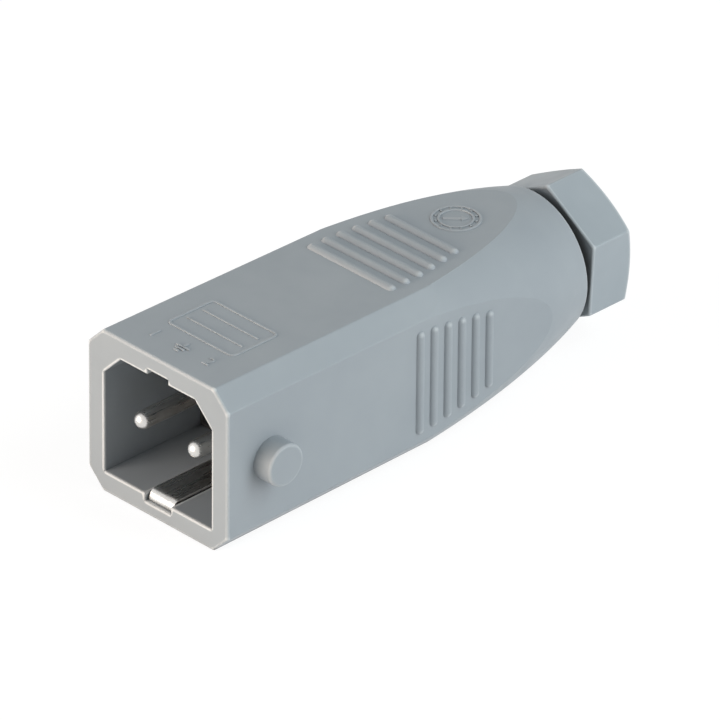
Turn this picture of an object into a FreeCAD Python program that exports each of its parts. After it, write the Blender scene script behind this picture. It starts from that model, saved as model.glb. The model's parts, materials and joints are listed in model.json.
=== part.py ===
import FreeCAD, Part
import math
import os

from FreeCAD import Vector

# Rectangular two-pole and earth cable plug.
# Millimetres. Origin at the centre of the mating face, +Y towards the cable, +Z up, pins along the Y axis.

# Housing, outside
body_width = 26.0
body_height = 24.0
body_draft = 0.4           # degrees that each flat leans in towards the cable
corner_chamfer = 2.7
edge_round = 0.4
rim_round = 0.35
mouth_round = 0.2
tail_start = 22.5          # the round tail is turned down from here
tail_allowance = 0.05      # of the turning over the shroud's corners
tail_end_round = 0.25

# Locking studs on both sides
stud_radius = 3.0
stud_height = 3.0
stud_setback = 7.6
stud_round = 0.45

# Grip ribs on the top and both sides; the plug lies on its plain underside
rib_count = 6
rib_first = 34.4
rib_pitch = 2.52
rib_width = 1.35
rib_height = 0.5
rib_margin_top = 2.1       # from a rib's end to the edge of the flat it lies on
rib_margin_side = 1.4

# Housing, inside
side_wall = 3.0
roof_wall = 3.05           # over the cavity and under it
cavity_chamfer = 3.1
chamber_ledge = 1.0        # the carrier stops against it
chamber_length = 14.0
tail_wall = 2.4
groove_width = 3.9
groove_depth = 0.75
earth_slot_width = 4.9
earth_slot_depth = 1.15
snap_setback = 3.0         # behind the carrier's front
snap_length = 2.2
snap_height = 0.6

# Cable gland
web_thickness = 2.2
web_lip = 1.8              # how far the web covers the seal's front
seal_step = 0.6            # from the thread down to the seal's pocket
seal_length = 6.0
seal_bore_radius = 4.0
seal_chamfer = 0.5
thread_radius = 8.0
thread_length = 10.2
thread_lead_in = 0.7
thread_wall = 2.2          # around the thread at the housing's end
ring_thickness = 1.2
spigot_length = 2.0
spigot_wall = 0.9
cable_bore_radius = 5.0
bore_mouth_round = 1.0
hex_shoulder = 1.15        # from the thread to the hexagon's flats
hex_length = 7.25
hex_gap = 1.75             # between the housing's end and the hexagon
hex_round = 0.3
hex_chamfer_angle = 20.0
hex_turn = 3.0             # degrees that its corner stands off upright

# Contact carrier and contacts
shroud_depth = 17.0
carrier_front_thickness = 7.5
carrier_margin = 1.0       # behind the contacts' ends
channel_wall = 0.6
pin_pitch = 10.0
pin_radius = 1.25
pin_setback = 1.05
pin_flange_step = 0.2
pin_flange_thickness = 0.8
strip_thickness = 0.8
strip_overhang = 1.2       # behind the clamps
blade_width = 4.5
blade_setback = 0.6
blade_rise = 0.4           # of the blade's top over the cavity floor
nose_inner_radius = 0.5    # of the blade's bend at the mouth
bend_inner_radius = 0.1    # of its bends inside the carrier
shoulder_drop = 0.4        # from a channel's floor to where the blade narrows

# Clamps and screws
clamp_gap = 2.7            # behind the carrier's front wall
clamp_length = 4.6
clamp_wall = 0.5
clamp_top = 2.4
clamp_bottom = -3.4
clamp_plate = 0.8
clamp_round = 0.3
screw_radius = 1.25
screw_head_height = 1.5
screw_lift = 1.0           # of the head over the clamp
screw_slot_width = 0.6
screw_slot_depth = 0.7

# Clearances
carrier_fit = 0.1
slide_fit = 0.1
channel_gap = 0.1          # around a clamp in its channel
head_gap = 0.25            # around a screw head in its channel
screw_fit = 0.05
seat_gap = 0.05
thread_fit = 0.05
ring_gap = 0.4             # around the thrust ring

# Places along the axis, from the mating face to the cable
front_end = shroud_depth + carrier_front_thickness
clamp_start = front_end + clamp_gap
strip_end = clamp_start + clamp_length + strip_overhang
carrier_end = strip_end + carrier_margin
chamber_end = carrier_end + chamber_length
seal_start = chamber_end + web_thickness
seal_end = seal_start + seal_length
ring_start = seal_end + seat_gap
ring_end = ring_start + ring_thickness
nose_start = ring_end + seat_gap
thread_start = ring_end - seat_gap
body_length = thread_start + thread_length
hex_start = body_length + hex_gap
hex_end = hex_start + hex_length

# Sizes across the axis
cavity_width = body_width - 2 * side_wall
cavity_height = body_height - 2 * roof_wall
floor_z = -cavity_height / 2
roof_z = cavity_height / 2
blade_top = floor_z + blade_rise
tail_end_radius = thread_radius + thread_wall
seal_pocket_radius = thread_radius - seal_step
shank_radius = thread_radius - thread_fit
spigot_radius = cable_bore_radius + spigot_wall
hex_across_flats = 2 * (thread_radius + hex_shoulder)
channel_width = pin_pitch / 2 - channel_wall
channel_floor = clamp_bottom - channel_gap
clamp_half_width = channel_width / 2 - channel_gap
strip_width = 2 * (clamp_half_width - clamp_wall - slide_fit)
contact_places = {"line": -pin_pitch / 2, "earth": 0.0, "neutral": pin_pitch / 2}

axis_y = Vector(0, 1, 0)


# Shared helpers

def filled(corners):
    """Flat face inside a closed run of points."""
    return Part.Face(Part.makePolygon(corners + corners[:1]))


def across(points, depth, start):
    """Prism of an outline given as (x, z) points, from y = start over depth."""
    return filled([Vector(x, start, z) for x, z in points]).extrude(Vector(0, depth, 0))


def block(x_range, y_range, z_range):
    size = [high - low for low, high in (x_range, y_range, z_range)]
    return Part.makeBox(*size, Vector(x_range[0], y_range[0], z_range[0]))


def rod(radius, start, length, x=0.0):
    return Part.makeCylinder(radius, length, Vector(x, start, 0), axis_y)


def turned(points):
    """Solid of revolution about Y of an outline given as (radius, y) points."""
    return filled([Vector(r, y, 0) for r, y in points]).revolve(Vector(), axis_y, 360)


def edges_where(shape, test):
    return [edge for edge in shape.Edges if test(edge)]


def edge_lies(edge, y):
    return abs(edge.BoundBox.YMin - y) < 1e-4 and abs(edge.BoundBox.YMax - y) < 1e-4


def save(shape, name):
    solid = shape.removeSplitter()
    if not solid.isValid() or len(solid.Solids) != 1:
        raise RuntimeError(name + " is not one valid solid")
    solid.Solids[0].exportStep("parts/" + name + ".step")


# Housing

def octagon(width, height, top_cut, bottom_cut):
    half_width = width / 2
    half_height = height / 2
    points = [(half_width, -half_height + bottom_cut), (half_width, half_height - top_cut)]
    points += [(half_width - top_cut, half_height), (top_cut - half_width, half_height)]
    points += [(-half_width, half_height - top_cut), (-half_width, -half_height + bottom_cut)]
    if bottom_cut > 0:
        points += [(bottom_cut - half_width, -half_height), (half_width - bottom_cut, -half_height)]
    return points


body_outline = octagon(body_width, body_height, corner_chamfer, corner_chamfer)
girth_radius = max(math.hypot(x, z) for x, z in body_outline) + tail_allowance
tail_reach = (body_length - tail_start) / math.sqrt(1 - (tail_end_radius / girth_radius) ** 2)


def lean(y):
    return y * math.tan(math.radians(body_draft))


def tail_radius(y):
    along = max(0.0, y - tail_start) / tail_reach
    return girth_radius * math.sqrt(1 - along ** 2)


def tail_turning(inset, end):
    """Cylinder that runs into the elliptic tail, reduced all round by inset."""
    reach = tail_reach - inset
    crown = Vector(girth_radius - inset, tail_start, 0)
    tip = Vector(crown.x * math.sqrt(1 - ((end - tail_start) / reach) ** 2), end, 0)
    centre = Vector(0, tail_start, 0)
    ellipse = Part.Ellipse(centre + axis_y * reach, crown, centre)
    curve = Part.ArcOfEllipse(ellipse, ellipse.parameter(tip), ellipse.parameter(crown)).toShape()
    outline = [
        Part.makeLine(Vector(0, 0, 0), Vector(crown.x, 0, 0)),
        Part.makeLine(Vector(crown.x, 0, 0), crown),
        curve,
        Part.makeLine(tip, Vector(0, end, 0)),
        Part.makeLine(Vector(0, end, 0), Vector(0, 0, 0)),
    ]
    return Part.Face(Part.Wire(outline)).revolve(Vector(), axis_y, 360)


def drafted_prism():
    """Eight-sided body with rounded edges, narrowing by the draft towards the cable."""
    rings = []
    for y in (0.0, body_length):
        loss = 2 * lean(y)
        outline = octagon(body_width - loss, body_height - loss, corner_chamfer, corner_chamfer)
        rings.append([Vector(x, y, z) for x, z in outline])
    front, back = rings
    faces = [filled(front), filled(back)]
    for i in range(len(front)):
        faces.append(filled([front[i - 1], front[i], back[i], back[i - 1]]))
    prism = Part.Solid(Part.Shell(faces))
    return prism.makeFillet(edge_round, edges_where(prism, lambda edge: edge.BoundBox.YLength > 0))


def rib(half_length):
    """Half-round bar with ball ends along X, rising rib_height over z = 0."""
    radius = (rib_width ** 2 / 4 + rib_height ** 2) / (2 * rib_height)
    sink = rib_height - radius
    reach = half_length - rib_width / 2
    bar = Part.makeCylinder(radius, 2 * reach, Vector(-reach, 0, sink), Vector(1, 0, 0))
    balls = [Part.makeSphere(radius, Vector(x, 0, sink)) for x in (-reach, reach)]
    return bar.multiFuse(balls)


def grip_ribs():
    """Ribs on the top and the sides, wherever the tail leaves the flat long enough for one."""
    ribs = []
    for index in range(rib_count):
        y = rib_first + index * rib_pitch
        half_width = body_width / 2 - lean(y)
        half_height = body_height / 2 - lean(y)
        flats = [(half_height, half_width, rib_margin_top, (0,)),
                 (half_width, half_height, rib_margin_side, (90, 270))]
        for height, reach, margin, angles in flats:
            chord = math.sqrt(max(0.0, tail_radius(y) ** 2 - height ** 2))
            half_length = min(chord, reach - corner_chamfer) - margin
            if half_length < rib_width:
                continue
            for angle in angles:
                bar = rib(half_length)
                bar.translate(Vector(0, y, height))
                bar.rotate(Vector(), axis_y, angle)
                ribs.append(bar)
    return ribs


def locking_stud(side):
    tip_x = body_width / 2 - lean(stud_setback) + stud_height
    stud = Part.makeCylinder(stud_radius, tip_x, Vector(0, stud_setback, 0), Vector(side, 0, 0))
    tip = edges_where(stud, lambda edge: edge.BoundBox.XLength < 1e-4
                      and abs(abs(edge.CenterOfMass.x) - tip_x) < 1e-4)
    return stud.makeFillet(stud_round, tip)


def housing_outside():
    shell = drafted_prism().common(tail_turning(0, body_length))
    shell = shell.makeFillet(tail_end_round, edges_where(shell, lambda edge: edge_lies(edge, body_length)))
    shell = shell.makeFillet(rim_round, edges_where(shell, lambda edge: edge_lies(edge, 0)))
    return shell.multiFuse(grip_ribs() + [locking_stud(side) for side in (-1, 1)])


def housing_inside():
    cavity = across(octagon(cavity_width, cavity_height, cavity_chamfer, 0), carrier_end, 0)
    half_groove = groove_width / 2
    half_slot = earth_slot_width / 2
    groove_top = roof_z + groove_depth
    snap_start = shroud_depth + snap_setback
    groove = block((-half_groove, half_groove), (0, carrier_end), (0, groove_top))
    slot = block((-half_slot, half_slot), (0, carrier_end), (floor_z - earth_slot_depth, 0))
    snap = block((-half_groove, half_groove), (snap_start, snap_start + snap_length),
                 (0, groove_top + snap_height))
    chamber = across(octagon(cavity_width - 2 * chamber_ledge, cavity_height - 2 * chamber_ledge,
                             cavity_chamfer, cavity_chamfer), chamber_end, 0)
    chamber = chamber.common(tail_turning(tail_wall, chamber_end))
    web_hole_radius = seal_pocket_radius - web_lip
    gland = turned([(0, chamber_end), (web_hole_radius, chamber_end), (web_hole_radius, seal_start),
                    (seal_pocket_radius, seal_start), (seal_pocket_radius, thread_start),
                    (thread_radius, thread_start), (thread_radius, body_length - thread_lead_in),
                    (thread_radius + thread_lead_in, body_length), (0, body_length)])
    return cavity.multiFuse([groove, slot, snap, chamber, gland])


def housing():
    inside = housing_inside()
    body = housing_outside().cut(inside)
    mouth = edges_where(body, lambda edge: edge_lies(edge, 0)
                        and inside.isInside(edge.CenterOfMass, 1e-4, True))
    return body.makeFillet(mouth_round, mouth)


# Cable gland

def seal_grommet():
    outer = seal_pocket_radius - slide_fit
    return turned([(seal_bore_radius, seal_start), (outer - seal_chamfer, seal_start),
                   (outer, seal_start + seal_chamfer), (outer, seal_end - seal_chamfer),
                   (outer - seal_chamfer, seal_end), (seal_bore_radius, seal_end)])


def thrust_ring():
    ring_radius = seal_pocket_radius - ring_gap
    spigot_end = ring_end + spigot_length
    return turned([(cable_bore_radius, ring_start), (ring_radius, ring_start), (ring_radius, ring_end),
                   (spigot_radius, ring_end), (spigot_radius, spigot_end), (cable_bore_radius, spigot_end)])


def gland_head():
    """Hexagon with rounded edges, chamfered at the cable end."""
    corner_radius = hex_across_flats / math.sqrt(3)
    angles = [math.radians(hex_turn + 60 * index) for index in range(6)]
    corners = [(corner_radius * math.sin(angle), corner_radius * math.cos(angle)) for angle in angles]
    head = across(corners, hex_length, hex_start)
    head = head.makeFillet(hex_round, edges_where(head, lambda edge: not edge_lies(edge, hex_end)))
    face_radius = hex_across_flats / 2 - hex_round
    wide = face_radius + hex_length / math.tan(math.radians(hex_chamfer_angle))
    return head.common(turned([(0, hex_start), (wide, hex_start), (face_radius, hex_end), (0, hex_end)]))


def gland_screw():
    shank = rod(shank_radius, nose_start, hex_start + hex_length / 2 - nose_start)
    shank = shank.makeChamfer(thread_lead_in, edges_where(shank, lambda edge: edge_lies(edge, nose_start)))
    screw = gland_head().fuse(shank)
    screw = screw.cut(rod(cable_bore_radius, nose_start, hex_end - nose_start))
    screw = screw.cut(rod(spigot_radius + thread_fit, nose_start, spigot_length + seat_gap))
    mouth = edges_where(screw, lambda edge: edge_lies(edge, hex_end)
                        and edge.BoundBox.XLength < 2 * cable_bore_radius + seat_gap)
    return screw.makeFillet(bore_mouth_round, mouth)


# Contact carrier

def contact_carrier():
    body = across(octagon(cavity_width - 2 * carrier_fit, cavity_height - 2 * carrier_fit,
                          cavity_chamfer, 0), carrier_end - shroud_depth, shroud_depth)
    half_key = groove_width / 2 - slide_fit
    key_top = roof_z + groove_depth - slide_fit
    wedge_start = shroud_depth + snap_setback + slide_fit
    wedge_end = wedge_start + snap_length - 2 * slide_fit
    key = block((-half_key, half_key), (shroud_depth, carrier_end), (0, key_top))
    wedge = filled([Vector(-half_key, wedge_start, key_top),
                    Vector(-half_key, wedge_start, key_top + snap_height),
                    Vector(-half_key, wedge_end, key_top)]).extrude(Vector(2 * half_key, 0, 0))
    carrier = body.multiFuse([key, wedge])
    half_channel = channel_width / 2
    cuts = [block((x - half_channel, x + half_channel), (front_end, carrier_end),
                  (channel_floor, body_height)) for x in contact_places.values()]
    half_blade = blade_width / 2 + slide_fit
    passage_end = front_end + strip_thickness + slide_fit
    cuts.append(block((-half_blade, half_blade), (shroud_depth, passage_end),
                      (-body_height, blade_top + slide_fit)))
    cuts.append(block((-half_blade, half_blade), (front_end, passage_end), (-body_height, channel_floor)))
    for name in ("line", "neutral"):
        cuts.append(rod(pin_body_radius + seat_gap, shroud_depth, carrier_front_thickness,
                        contact_places[name]))
    return carrier.cut(cuts[0].multiFuse(cuts[1:]))


# Contacts, each with a flat strip for its clamp

pin_flange_radius = channel_width / 2 - slide_fit
pin_body_radius = pin_flange_radius - pin_flange_step


def contact_pin(x):
    dome_centre = pin_setback + pin_radius
    pin = rod(pin_radius, dome_centre, shroud_depth - dome_centre, x)
    dome = Part.makeSphere(pin_radius, Vector(x, dome_centre, 0))
    body = rod(pin_body_radius, shroud_depth, carrier_front_thickness, x)
    flange = rod(pin_flange_radius, front_end, pin_flange_thickness, x)
    strip = block((x - strip_width / 2, x + strip_width / 2), (front_end, strip_end),
                  (-strip_thickness / 2, strip_thickness / 2))
    return pin.multiFuse([dome, body, flange, strip])


def earth_blade():
    half = strip_thickness / 2
    low = blade_top - strip_thickness
    riser = front_end + strip_thickness
    nose_back = blade_setback + strip_thickness
    nose_foot = floor_z - earth_slot_depth + seat_gap
    outline = [(blade_setback, nose_foot), (nose_back, nose_foot), (nose_back, low),
               (riser, low), (riser, -half), (strip_end, -half), (strip_end, half), (front_end, half),
               (front_end, blade_top), (blade_setback, blade_top)]
    points = [Vector(-blade_width / 2, y, z) for y, z in outline]
    strip = filled(points).extrude(Vector(blade_width, 0, 0))
    bends = [(blade_setback, blade_top, strip_thickness + nose_inner_radius),
             (nose_back, low, nose_inner_radius),
             (riser, low, strip_thickness + bend_inner_radius),
             (front_end, half, strip_thickness + bend_inner_radius)]
    for y, z, bend_radius in bends:
        strip = strip.makeFillet(bend_radius, edges_where(strip, lambda edge: math.hypot(
            edge.CenterOfMass.y - y, edge.CenterOfMass.z - z) < 1e-4))
    for side in (-1, 1):
        x_range = sorted((side * strip_width / 2, side * blade_width))
        strip = strip.cut(block(x_range, (front_end, strip_end),
                                (channel_floor - shoulder_drop, body_height)))
    return strip


def box_clamp(x):
    y_range = (clamp_start, clamp_start + clamp_length)
    box = block((x - clamp_half_width, x + clamp_half_width), y_range, (clamp_bottom, clamp_top))
    box = box.makeFillet(clamp_round, edges_where(
        box, lambda edge: edge.BoundBox.YLength > clamp_length / 2))
    inner = clamp_half_width - clamp_wall
    opening = block((x - inner, x + inner), y_range, (clamp_bottom + clamp_plate, clamp_top - clamp_plate))
    centre = Vector(x, clamp_start + clamp_length / 2, 0)
    hole = Part.makeCylinder(screw_radius + screw_fit, clamp_top, centre)
    return box.cut(opening).cut(hole)


def clamp_screw(x):
    y = clamp_start + clamp_length / 2
    foot = strip_thickness / 2 + seat_gap
    head_foot = clamp_top + screw_lift
    head_radius = channel_width / 2 - head_gap
    head_top = head_foot + screw_head_height
    shank = Part.makeCylinder(screw_radius, head_foot - foot, Vector(x, y, foot))
    head = Part.makeCylinder(head_radius, screw_head_height, Vector(x, y, head_foot))
    slot = block((x - screw_slot_width / 2, x + screw_slot_width / 2), (y - head_radius, y + head_radius),
                 (head_top - screw_slot_depth, head_top))
    return shank.fuse(head).cut(slot)


os.makedirs("parts", exist_ok=True)
save(housing(), "housing")
save(gland_screw(), "gland_screw")
save(thrust_ring(), "thrust_ring")
save(seal_grommet(), "seal_grommet")
save(contact_carrier(), "contact_carrier")
save(earth_blade(), "earth_blade")
for pole in ("line", "neutral"):
    save(contact_pin(contact_places[pole]), pole + "_pin")
for pole, place in contact_places.items():
    save(box_clamp(place), pole + "_clamp")
    save(clamp_screw(place), pole + "_screw")
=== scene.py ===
import json
import math

import bmesh
import bpy
from mathutils import Matrix, Vector


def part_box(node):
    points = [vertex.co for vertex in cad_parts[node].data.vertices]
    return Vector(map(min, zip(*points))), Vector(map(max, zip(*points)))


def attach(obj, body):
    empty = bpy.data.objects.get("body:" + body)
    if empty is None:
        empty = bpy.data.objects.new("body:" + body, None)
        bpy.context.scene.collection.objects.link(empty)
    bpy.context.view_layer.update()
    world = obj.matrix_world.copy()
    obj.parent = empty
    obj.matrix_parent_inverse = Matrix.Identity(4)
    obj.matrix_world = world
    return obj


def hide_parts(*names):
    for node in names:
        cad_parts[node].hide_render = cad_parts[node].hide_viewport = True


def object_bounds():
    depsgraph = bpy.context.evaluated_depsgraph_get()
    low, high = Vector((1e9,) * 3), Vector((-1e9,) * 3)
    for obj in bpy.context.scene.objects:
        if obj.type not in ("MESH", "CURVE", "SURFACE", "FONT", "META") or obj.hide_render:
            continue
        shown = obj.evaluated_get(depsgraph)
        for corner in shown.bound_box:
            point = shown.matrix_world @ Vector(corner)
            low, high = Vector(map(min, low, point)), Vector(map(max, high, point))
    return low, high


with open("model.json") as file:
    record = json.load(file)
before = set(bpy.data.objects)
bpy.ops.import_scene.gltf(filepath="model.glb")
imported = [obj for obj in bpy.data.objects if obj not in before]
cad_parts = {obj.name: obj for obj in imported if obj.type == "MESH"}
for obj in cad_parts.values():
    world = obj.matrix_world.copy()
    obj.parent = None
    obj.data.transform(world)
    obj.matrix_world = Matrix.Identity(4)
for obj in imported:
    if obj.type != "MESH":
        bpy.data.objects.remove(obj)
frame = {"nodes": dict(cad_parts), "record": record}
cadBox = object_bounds()  # box of the solids alone
mm = 0.001  # the frame is in metres
weld = 0.001  # mm, points this close are merged
touch = 0.01  # mm, points this close count as level
clear = 0.1  # mm, a step this large is a real one
print("frame loaded with", len(frame["nodes"]), "nodes")


# camera

cameraLook = {
    "azimuth": 45.6176,  # degrees round from the mating face
    "elevation": 30.4761,
    "roll": 0.4982,
    "distance": 1482.0,  # mm from the aim
    "aim": (-1.68, 37.70, -4.07),  # mm
    "lens": 570.465,
    "sensor": 36.0,
}


def placeCamera(look):
    azimuth, elevation, roll = (math.radians(look[name]) for name in ("azimuth", "elevation", "roll"))
    flat = math.cos(elevation)
    back = Vector((flat * math.sin(azimuth), -flat * math.cos(azimuth), math.sin(elevation)))
    right = Vector((math.cos(azimuth), math.sin(azimuth), 0))
    facing = Matrix((right, back.cross(right), back)).transposed().to_4x4()
    spot = (Vector(look["aim"]) + back * look["distance"]) * mm
    camera = bpy.data.cameras.new("camera")
    camera.lens = look["lens"]
    camera.sensor_width = look["sensor"]
    stand = bpy.data.objects.new("camera", camera)
    stand.matrix_world = Matrix.Translation(spot) @ facing @ Matrix.Rotation(roll, 4, "Z")
    bpy.context.collection.objects.link(stand)
    bpy.context.scene.camera = stand


placeCamera(cameraLook)
bpy.context.scene.view_settings.view_transform = "Standard"
print("camera placed")


# small helpers for node trees

def addNode(tree, kind, **settings):
    node = tree.nodes.new(kind)
    for name, value in settings.items():
        setattr(node, name, value)
    return node


def feed(tree, socket, value):
    if isinstance(value, bpy.types.NodeSocket):
        tree.links.new(value, socket)
    else:
        socket.default_value = value


def startMaterial(name):
    material = bpy.data.materials.new(name)
    material.use_nodes = True
    tree = material.node_tree
    place = addNode(tree, "ShaderNodeTexCoord").outputs["Object"]
    return material, tree, tree.nodes["Principled BSDF"], place


def noise(tree, place, size, detail=2.0, stretch=(1, 1, 1)):
    spread = addNode(tree, "ShaderNodeMapping")
    feed(tree, spread.inputs["Vector"], place)
    spread.inputs["Scale"].default_value = stretch
    grain = addNode(tree, "ShaderNodeTexNoise")
    feed(tree, grain.inputs["Vector"], spread.outputs["Vector"])
    grain.inputs["Scale"].default_value = 1 / (size * mm)
    grain.inputs["Detail"].default_value = detail
    return grain.outputs["Fac"]


def remap(tree, value, low, high, newLow, newHigh):
    node = addNode(tree, "ShaderNodeMapRange")
    feed(tree, node.inputs["Value"], value)
    for name, number in (("From Min", low), ("From Max", high), ("To Min", newLow), ("To Max", newHigh)):
        node.inputs[name].default_value = number
    return node.outputs["Result"]


def blendColours(tree, share, first, second):
    node = addNode(tree, "ShaderNodeMix", data_type="RGBA")
    feed(tree, node.inputs["Factor"], share)
    colours = [socket for socket in node.inputs if socket.type == "RGBA"]
    for socket, colour in zip(colours, (first, second)):
        feed(tree, socket, colour if isinstance(colour, bpy.types.NodeSocket) else (*colour, 1))
    return next(socket for socket in node.outputs if socket.type == "RGBA")


def bump(tree, shader, layers):
    below = None
    for height, depth in layers:  # depth in mm
        node = addNode(tree, "ShaderNodeBump")
        feed(tree, node.inputs["Height"], height)
        node.inputs["Distance"].default_value = depth * mm
        if below:
            feed(tree, node.inputs["Normal"], below)
        below = node.outputs["Normal"]
    feed(tree, shader.inputs["Normal"], below)


maskSamples = 16  # rays for each shaded point
noiseRange = (0.3, 0.7)  # where most of a noise lies


def edgeMask(tree, reach, inside):
    node = addNode(tree, "ShaderNodeAmbientOcclusion", inside=inside, only_local=inside,
                   samples=maskSamples)
    node.inputs["Distance"].default_value = reach * mm
    return node.outputs["AO"]


# materials

def mouldedPlastic(name, look):
    material, tree, shader, place = startMaterial(name)
    cloud = remap(tree, noise(tree, place, look["cloud"], detail=3), *noiseRange, 0, 1)
    colour = blendColours(tree, cloud, look["colour"], look["paler"])
    # pale convex edges: partly real wear, partly a painted highlight where rounded edges would catch
    # light
    wornAndHighlit = remap(tree, edgeMask(tree, look["edgeReach"], True), *look["edgeBand"], 0, look["edgeWearAndHighlight"])
    colour = blendColours(tree, wornAndHighlit, colour, look["edge"])
    # painted shade: a dark colour laid into gaps, creases and corners where shade falls
    paintedGapShade = remap(tree, edgeMask(tree, look["gapReach"], False), *look["gapBand"], 0, look["gapShadeStrength"])
    colour = blendColours(tree, paintedGapShade, colour, look["gapShade"])
    feed(tree, shader.inputs["Base Color"], colour)
    sheen = noise(tree, place, look["patch"], detail=4)
    feed(tree, shader.inputs["Roughness"], remap(tree, sheen, *noiseRange, *look["roughness"]))
    shader.inputs["Specular IOR Level"].default_value = look["gloss"]
    peel = noise(tree, place, look["peel"], detail=2)
    grain = noise(tree, place, look["grain"], detail=3)
    bump(tree, shader, [(peel, look["peelDepth"]), (grain, look["grainDepth"])])
    return material


def platedMetal(name, look):
    material, tree, shader, place = startMaterial(name)
    stain = remap(tree, noise(tree, place, look["stain"], detail=4), *look["stainBand"], 0, 1)
    feed(tree, shader.inputs["Base Color"], blendColours(tree, stain, look["colour"], look["stained"]))
    shader.inputs["Metallic"].default_value = 1
    streak = noise(tree, place, look["streak"], detail=3, stretch=look["stretch"])
    feed(tree, shader.inputs["Roughness"], remap(tree, streak, *noiseRange, *look["roughness"]))
    bump(tree, shader, [(streak, look["depth"])])
    return material


def sealRubber(name, look):
    material, tree, shader, place = startMaterial(name)
    bloom = remap(tree, noise(tree, place, look["bloom"], detail=4), *look["bloomBand"], 0, 1)
    feed(tree, shader.inputs["Base Color"], blendColours(tree, bloom, look["colour"], look["bloomed"]))
    pores = noise(tree, place, look["pores"], detail=3)
    feed(tree, shader.inputs["Roughness"], remap(tree, pores, *noiseRange, *look["roughness"]))
    shader.inputs["Specular IOR Level"].default_value = look["gloss"]
    bump(tree, shader, [(pores, look["depth"])])
    return material


greyMoulding = {  # reaches, grain sizes and depths in mm
    "colour": (0.300, 0.330, 0.358), "paler": (0.322, 0.352, 0.378),
    # the pale edge colour is partly wear and partly painted highlight
    "edge": (0.66, 0.68, 0.69), "edgeWearAndHighlight": 0.9, "edgeReach": 0.6, "edgeBand": (0.87, 0.78),
    # the dark gap colour is painted shade for creases and gaps
    "gapShade": (0.05, 0.05, 0.055), "gapShadeStrength": 0.8, "gapReach": 1.8, "gapBand": (0.55, 0.20),
    "cloud": 9.0, "patch": 2.4, "roughness": (0.40, 0.50), "gloss": 0.42,
    "peel": 1.1, "peelDepth": 0.006, "grain": 0.16, "grainDepth": 0.0025,
}
glandMoulding = dict(
    greyMoulding, colour=(0.325, 0.362, 0.392), paler=(0.348, 0.385, 0.414), cloud=6.0, edgeWearAndHighlight=0.5,
    gapShade=(0.045, 0.038, 0.032), gapShadeStrength=0.88,  # painted shade in the gap behind the hexagon
    gapReach=2.5, gapBand=(0.71, 0.38))
ringMoulding = dict(
    greyMoulding, colour=(0.53, 0.53, 0.50), paler=(0.57, 0.57, 0.54), edge=(0.66, 0.66, 0.63))
carrierMoulding = dict(
    greyMoulding, colour=(0.022, 0.022, 0.024), paler=(0.029, 0.029, 0.031), edge=(0.08, 0.08, 0.08),
    gapShade=(0.02, 0.02, 0.02), roughness=(0.45, 0.58), grainDepth=0.004)
nickelPlate = {
    "colour": (0.72, 0.71, 0.69), "stained": (0.60, 0.585, 0.56),
    "stain": 2.0, "stainBand": (0.35, 0.7),
    "streak": 0.3, "stretch": (1, 0.06, 1), "roughness": (0.24, 0.34), "depth": 0.0004,
}
zincPlate = {
    "colour": (0.60, 0.60, 0.61), "stained": (0.52, 0.53, 0.55),
    "stain": 3.0, "stainBand": (0.35, 0.7),
    "streak": 0.25, "stretch": (1, 1, 1), "roughness": (0.28, 0.42), "depth": 0.003,
}
blackRubber = {
    "colour": (0.026, 0.026, 0.028), "bloomed": (0.045, 0.045, 0.046),
    "bloom": 4.0, "bloomBand": (0.4, 0.75),
    "pores": 0.3, "roughness": (0.62, 0.8), "gloss": 0.3, "depth": 0.006,
}
finishes = {
    "housing_plastic": mouldedPlastic("greyMoulding", greyMoulding),
    "gland_plastic": mouldedPlastic("glandMoulding", glandMoulding),
    "ring_plastic": mouldedPlastic("ringMoulding", ringMoulding),
    "carrier_plastic": mouldedPlastic("carrierMoulding", carrierMoulding),
    "contact_metal": platedMetal("nickelPlate", nickelPlate),
    "clamp_steel": platedMetal("clampZinc", zincPlate),
    "screw_steel": platedMetal("screwZinc", dict(zincPlate, roughness=(0.22, 0.34))),
    "seal_rubber": sealRubber("blackRubber", blackRubber),
}


def dressNodes():
    for row in frame["record"]["subparts"]:
        node = frame["nodes"][row["node"]]
        for slot in node.material_slots:
            slot.material = finishes[row["material_slot"]]


dressNodes()
print("finishes on", len(frame["nodes"]), "nodes")


# new pieces

def addPiece(bm, name, body, slotName, finish=None):
    mesh = bpy.data.meshes.new(name)
    bm.to_mesh(mesh)
    bm.free()
    mesh.materials.append(finish or finishes[slotName])
    piece = bpy.data.objects.new(name, mesh)
    bpy.context.collection.objects.link(piece)
    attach(piece, body)
    return piece


def shadeByAngle(bm, degrees):
    for face in bm.faces:
        face.smooth = True
    for edge in bm.edges:
        edge.smooth = edge.is_manifold and edge.calc_face_angle() < math.radians(degrees)


def radius(vert):
    return math.hypot(vert.co.x, vert.co.z)


def openLoops(bm):
    return [edge for edge in bm.edges if edge.is_boundary]


screwLook = {  # mm
    "pitch": 1.5,
    "depth": 0.8,
    "crest": 0.22, "root": 0.2,  # shares of the pitch
    "relief": 0.9,  # plain neck under the head
    "noseZone": 2,  # end of the shank where its radius is read
    "spareTurns": 2,  # cut off again at both ends
    "cut": 0.0001,  # tolerance of those cuts
    "steps": 60,  # round one turn
    "sharpest": 32,  # degrees between faces that still shade as one
}


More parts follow.
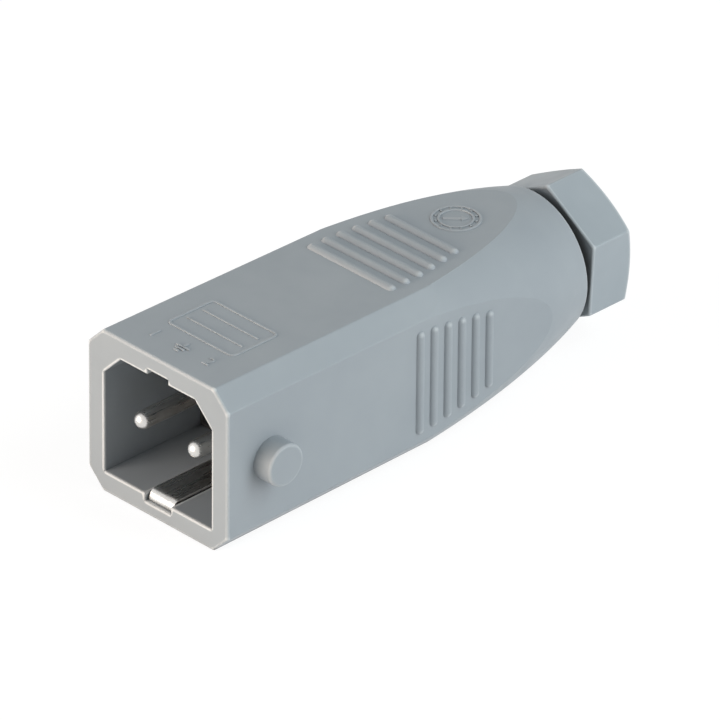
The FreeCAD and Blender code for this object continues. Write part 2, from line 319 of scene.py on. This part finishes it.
def threadSkin(look, nose, headStart, crest):
    pitch = look["pitch"] * mm
    root = crest - look["depth"] * mm
    flank = (1 - look["crest"] - look["root"]) / 2
    profile = [(root, 0), (root, look["root"])]
    profile += [(crest, look["root"] + flank), (crest, 1 - flank), (root, 1)]
    bm = bmesh.new()
    verts = [bm.verts.new((reach, nose + (share - 1) * pitch, 0)) for reach, share in profile]
    edges = [bm.edges.new(pair) for pair in zip(verts, verts[1:])]
    turns = math.ceil((headStart - nose) / pitch) + look["spareTurns"]
    bmesh.ops.spin(bm, geom=verts + edges, cent=(0, 0, 0), axis=(0, 1, 0), angle=math.tau * turns,
                   dvec=(0, pitch / look["steps"], 0), steps=look["steps"] * turns)
    bmesh.ops.remove_doubles(bm, verts=bm.verts, dist=weld * mm)
    for end, way in ((nose, -1), (headStart, 1)):
        everything = bm.verts[:] + bm.edges[:] + bm.faces[:]
        bmesh.ops.bisect_plane(bm, geom=everything, dist=look["cut"] * mm, plane_co=(0, end, 0),
                               plane_no=(0, way, 0), clear_outer=True)
    reliefStart = headStart - look["relief"] * mm
    for vert in bm.verts:  # the thread fades at both ends
        room = max(0, min(vert.co.y - nose, reliefStart - vert.co.y))
        if radius(vert) > root + room:
            squeeze = (root + room) / radius(vert)
            vert.co.x *= squeeze
            vert.co.z *= squeeze
    return bm


def threadedScrew(look):
    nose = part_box("gland_screw")[0].y
    bm = bmesh.new()
    bm.from_mesh(frame["nodes"]["gland_screw"].data)
    bmesh.ops.remove_doubles(bm, verts=bm.verts, dist=weld * mm)
    noseEnd = nose + look["noseZone"] * mm
    crest = max(radius(vert) for vert in bm.verts if vert.co.y < noseEnd)
    noseHole = min(radius(vert) for vert in bm.verts if vert.co.y < nose + touch * mm)
    headStart = min(vert.co.y for vert in bm.verts if radius(vert) > crest + clear * mm)
    plain = []
    for face in bm.faces:
        reaches = [radius(vert) for vert in face.verts]
        outside = min(reaches) > noseHole - touch * mm and max(reaches) > noseHole + clear * mm
        if outside and face.calc_center_median().y < headStart - touch * mm:
            plain.append(face)
    bmesh.ops.delete(bm, geom=plain, context="FACES")
    skin = threadSkin(look, nose, headStart, crest)
    skinMesh = bpy.data.meshes.new("threadSkin")
    skin.to_mesh(skinMesh)
    skin.free()
    bm.from_mesh(skinMesh)
    bpy.data.meshes.remove(skinMesh)
    for end in (nose, headStart):
        rims = [edge for edge in openLoops(bm)
                if all(abs(vert.co.y - end) < touch * mm for vert in edge.verts)]
        bmesh.ops.bridge_loops(bm, edges=rims)
    bmesh.ops.recalc_face_normals(bm, faces=bm.faces)
    print("gland screw open edges:", len(openLoops(bm)))
    shadeByAngle(bm, look["sharpest"])
    piece = addPiece(bm, "threadedGlandScrew", "gland_screw", "gland_plastic")
    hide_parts("gland_screw")
    piece.modifiers.new("evenShading", "WEIGHTED_NORMAL").keep_sharp = True


threadedScrew(screwLook)
print("gland screw threaded")


def topPlace(x, y):  # a frame on the housing's top flat, z outwards
    above = Vector((x * mm, y * mm, 2 * cadBox[1].z))
    spot, normal = frame["nodes"]["housing"].ray_cast(above, Vector((0, 0, -1)))[1:3]
    across = Vector((1, 0, 0))
    axes = Matrix((across, normal.cross(across), normal)).transposed()
    return Matrix.Translation(spot) @ axes.to_4x4()


def flatBar(bm, middle, size, turn=0):  # mm, in the plane of the marks
    place = Matrix.Translation((*middle, 0)) @ Matrix.Rotation(turn, 4, "Z")
    stretch = Matrix.Diagonal((*size, 1, 1))
    bmesh.ops.create_grid(bm, x_segments=1, y_segments=1, size=0.5, matrix=place @ stretch)


def flatArrow(bm, look):
    half, width = look["arrowLength"] / 2, look["arrowWidth"] / 2
    neck, barb = half - look["arrowHead"], look["arrowHead"] * look["arrowBarb"]
    points = [(-half, -width), (neck, -width), (neck, -barb), (half, 0)]
    points += [(neck, barb), (neck, width), (-half, width)]
    turn = Matrix.Rotation(math.radians(look["arrowTurn"]), 3, "Z")
    bm.faces.new([bm.verts.new(turn @ Vector((*point, 0))) for point in points])


def flatRing(bm, outer, inner, segments):
    rims = []
    for reach in (outer, inner):
        verts = bmesh.ops.create_circle(bm, segments=segments, radius=reach)["verts"]
        rims += [edge for edge in bm.edges if all(vert in verts for vert in edge.verts)]
    bmesh.ops.bridge_loops(bm, edges=rims)


def flatDigit(bm, digit, middle, height):
    words = bpy.data.curves.new("digit", "FONT")
    words.body = digit
    words.size = height
    words.align_x = words.align_y = "CENTER"
    holder = bpy.data.objects.new("digit", words)
    mesh = bpy.data.meshes.new_from_object(holder)
    mesh.transform(Matrix.Translation((*middle, 0)))
    bm.from_mesh(mesh)
    bpy.data.objects.remove(holder)
    bpy.data.curves.remove(words)
    bpy.data.meshes.remove(mesh)


def raiseMarks(bm, look, place, name):
    bmesh.ops.remove_doubles(bm, verts=bm.verts, dist=weld)
    lifted = bmesh.ops.extrude_face_region(bm, geom=bm.faces[:])["geom"]
    tops = [item for item in lifted if isinstance(item, bmesh.types.BMVert)]
    bmesh.ops.translate(bm, verts=tops, vec=(0, 0, look["height"] + look["sunk"]))
    bmesh.ops.recalc_face_normals(bm, faces=bm.faces)
    crown = look["height"] + look["sunk"]
    rims = [edge for edge in bm.edges if all(abs(vert.co.z - crown) < weld for vert in edge.verts)
            and edge.calc_face_angle(0) > look["rimAngle"]]
    bmesh.ops.bevel(bm, geom=rims, offset=look["round"], affect="EDGES", segments=look["roundSegments"],
                    profile=0.5, material=-1, clamp_overlap=True)
    bmesh.ops.translate(bm, verts=bm.verts, vec=(0, 0, -look["sunk"]))
    bmesh.ops.transform(bm, matrix=place @ Matrix.Scale(mm, 4), verts=bm.verts)
    shadeByAngle(bm, look["sharpest"])
    print(name, "open edges:", len(openLoops(bm)))
    addPiece(bm, name, "housing", "housing_plastic", markFinish)


markFinish = mouldedPlastic("markMoulding", dict(greyMoulding, edgeWearAndHighlight=0.1))  # too thin for pale edges of wear and painted highlight
raisedLook = {  # mm
    "sunk": 0.05, "round": 0.05, "roundSegments": 2,
    "rimAngle": 1,  # radians, from which an edge is rounded
    "sharpest": 40,  # degrees
}
markLook = dict(raisedLook, **{
    "place": (0, 4.3),  # mm on the top flat
    "height": 0.13, "digitHeight": 2.6, "stroke": 0.34,
    "earthStem": 1.1, "earthStemMiddle": 0.75,
    "earthBars": 3, "earthTop": 0.2, "earthPitch": 0.55, "earthWidth": 2.4, "earthStep": 0.8,
    "field": (12.4, 8.4), "fieldGap": 7.2, "fieldRound": 0.9, "fieldSegments": 5,
    "rules": 2, "ruleLength": 10.2, "ruleStroke": 0.8,  # share of the stroke
})


def poleMarks(look):
    bm = bmesh.new()
    stroke = look["stroke"]
    for digit, contact in (("1", "line_contact"), ("2", "neutral_contact")):  # over the pins
        mount = next(row for row in frame["record"]["mounts"] if row["name"] == contact)
        flatDigit(bm, digit, (mount["pos_m"][0] / mm, 0), look["digitHeight"])
    flatBar(bm, (0, look["earthStemMiddle"]), (stroke, look["earthStem"]))  # earth sign, over the blade
    for index in range(look["earthBars"]):
        width = look["earthWidth"] - look["earthStep"] * index
        flatBar(bm, (0, look["earthTop"] - look["earthPitch"] * index), (width, stroke))
    raiseMarks(bm, look, topPlace(*look["place"]), "poleMarks")


def writingField(look):
    bm = bmesh.new()
    width, length = look["field"]
    flatBar(bm, (0, 0), (width, length))
    bmesh.ops.bevel(bm, geom=bm.verts[:], offset=look["fieldRound"], affect="VERTICES",
                    segments=look["fieldSegments"], profile=0.5, material=-1)
    bmesh.ops.inset_region(bm, faces=bm.faces[:], thickness=look["stroke"],
                           use_even_offset=True, use_boundary=True)
    middle = min(bm.faces, key=lambda face: face.calc_center_median().length + 1 / face.calc_area())
    bmesh.ops.delete(bm, geom=[middle], context="FACES_ONLY")
    for index in range(look["rules"]):
        share = (index + 1) / (look["rules"] + 1) - 0.5
        flatBar(bm, (0, share * length), (look["ruleLength"], look["stroke"] * look["ruleStroke"]))
    x, y = look["place"]
    raiseMarks(bm, look, topPlace(x, y + look["fieldGap"]), "writingField")


dialLook = dict(raisedLook, **{
    "place": (0, 53.3), "height": 0.16,
    "rings": ((3.4, 3.05), (2.45, 2.15)),  # outer and inner radius
    "ringSegments": 64,
    "tickOuter": 2.9, "tickInner": 2.6, "ticks": 12, "tickWidth": 0.26,
    "arrowLength": 3.4, "arrowWidth": 0.45, "arrowHead": 1.0, "arrowTurn": 45,
    "arrowBarb": 0.6,  # share of the head's length
})


def mouldDial(look):
    bm = bmesh.new()
    for outer, inner in look["rings"]:
        flatRing(bm, outer, inner, look["ringSegments"])
    flatArrow(bm, look)
    tickMiddle = (look["tickOuter"] + look["tickInner"]) / 2
    for index in range(look["ticks"]):
        turn = math.tau * index / look["ticks"]
        spot = (tickMiddle * math.cos(turn), tickMiddle * math.sin(turn))
        flatBar(bm, spot, (look["tickOuter"] - look["tickInner"], look["tickWidth"]), turn)
    raiseMarks(bm, look, topPlace(*look["place"]), "mouldDial")


poleMarks(markLook)
writingField(markLook)
mouldDial(dialLook)
print("marks raised")


# studio

white = 1.0  # strength of the plain background
floorLook = {  # reach and fade in m
    "reach": 3.0, "segments": 64, "colour": (0.85, 0.85, 0.85),
    "shadow": 0.18, "lift": 0.89, "fade": (0.10, 0.20),
}
worldLook = {"ambient": 0.31}
lampLooks = {
    "frontBox": {"side": (-0.35, -1.0, 0.28), "size": 0.4, "power": 2.45, "colour": (1.0, 0.93, 0.90)},
    "lowBox": {"side": (-0.25, -1.0, 0.02), "size": 0.4, "power": 4.6, "colour": (1.0, 0.82, 0.62)},
    "rightBox": {"side": (0.90, 0.30, 0.17), "size": 0.5, "power": 2.75, "colour": (0.97, 0.98, 1.0)},
    "topBox": {"side": (0.70, 0.35, 0.80), "size": 0.4, "power": 1.75, "colour": (0.84, 0.99, 1.0)},
}
lampDistance = 0.7  # m from the middle of the plug


def shownRays(tree):  # camera, glossy and transmission rays see the plain background
    rays = addNode(tree, "ShaderNodeLightPath").outputs
    total = rays["Is Camera Ray"]
    for name in ("Is Glossy Ray", "Is Transmission Ray"):
        either = addNode(tree, "ShaderNodeMath", operation="MAXIMUM")
        feed(tree, either.inputs[0], total)
        feed(tree, either.inputs[1], rays[name])
        total = either.outputs["Value"]
    return total


def mixShaders(tree, share, first, second):
    node = addNode(tree, "ShaderNodeMixShader")
    feed(tree, node.inputs[0], share)
    feed(tree, node.inputs[1], first)
    feed(tree, node.inputs[2], second)
    return node.outputs["Shader"]


def glow(tree, strength):
    node = addNode(tree, "ShaderNodeEmission")
    node.inputs["Strength"].default_value = strength
    node.inputs["Color"].default_value = (1, 1, 1, 1)
    return node.outputs["Emission"]


def matt(tree, colour):
    node = addNode(tree, "ShaderNodeBsdfDiffuse")
    node.inputs["Color"].default_value = (*colour, 1)
    return node.outputs["BSDF"]


def floorPaint(look):
    material, tree, shader, place = startMaterial("floorPaint")
    tree.nodes.remove(shader)
    shaded = addNode(tree, "ShaderNodeAddShader")
    feed(tree, shaded.inputs[0], matt(tree, (look["shadow"],) * 3))
    feed(tree, shaded.inputs[1], glow(tree, look["lift"]))
    distance = addNode(tree, "ShaderNodeVectorMath", operation="LENGTH")
    feed(tree, distance.inputs[0], place)
    far = remap(tree, distance.outputs["Value"], *look["fade"], 0, 1)
    shown = mixShaders(tree, far, shaded.outputs["Shader"], glow(tree, white))
    paint = mixShaders(tree, shownRays(tree), matt(tree, look["colour"]), shown)
    feed(tree, tree.nodes["Material Output"].inputs["Surface"], paint)
    return material


def addFloor(look):
    middle = (cadBox[0] + cadBox[1]) / 2
    bm = bmesh.new()
    bmesh.ops.create_circle(bm, cap_ends=True, segments=look["segments"], radius=look["reach"])
    mesh = bpy.data.meshes.new("floor")
    bm.to_mesh(mesh)
    bm.free()
    mesh.materials.append(floorPaint(look))
    floor = bpy.data.objects.new("floor", mesh)
    floor.location = (middle.x, middle.y, cadBox[0].z)
    bpy.context.collection.objects.link(floor)


def lightWorld(look):
    world = bpy.data.worlds.new("studio")
    world.use_nodes = True
    bpy.context.scene.world = world
    tree = world.node_tree
    backdrop = tree.nodes["Background"]
    backdrop.inputs["Color"].default_value = (1, 1, 1, 1)
    feed(tree, backdrop.inputs["Strength"], remap(tree, shownRays(tree), 0, 1, look["ambient"], white))


def addLamp(name, look):
    middle = (cadBox[0] + cadBox[1]) / 2
    side = Vector(look["side"]).normalized()
    lamp = bpy.data.lights.new(name, "AREA")
    lamp.size = look["size"]
    lamp.energy = look["power"]
    lamp.color = look["colour"]
    stand = bpy.data.objects.new(name, lamp)
    stand.location = middle + side * lampDistance
    stand.rotation_euler = side.to_track_quat("Z", "Y").to_euler()
    bpy.context.collection.objects.link(stand)


addFloor(floorLook)
lightWorld(worldLook)
for lampName, lampLook in lampLooks.items():
    addLamp(lampName, lampLook)
print("studio lit")
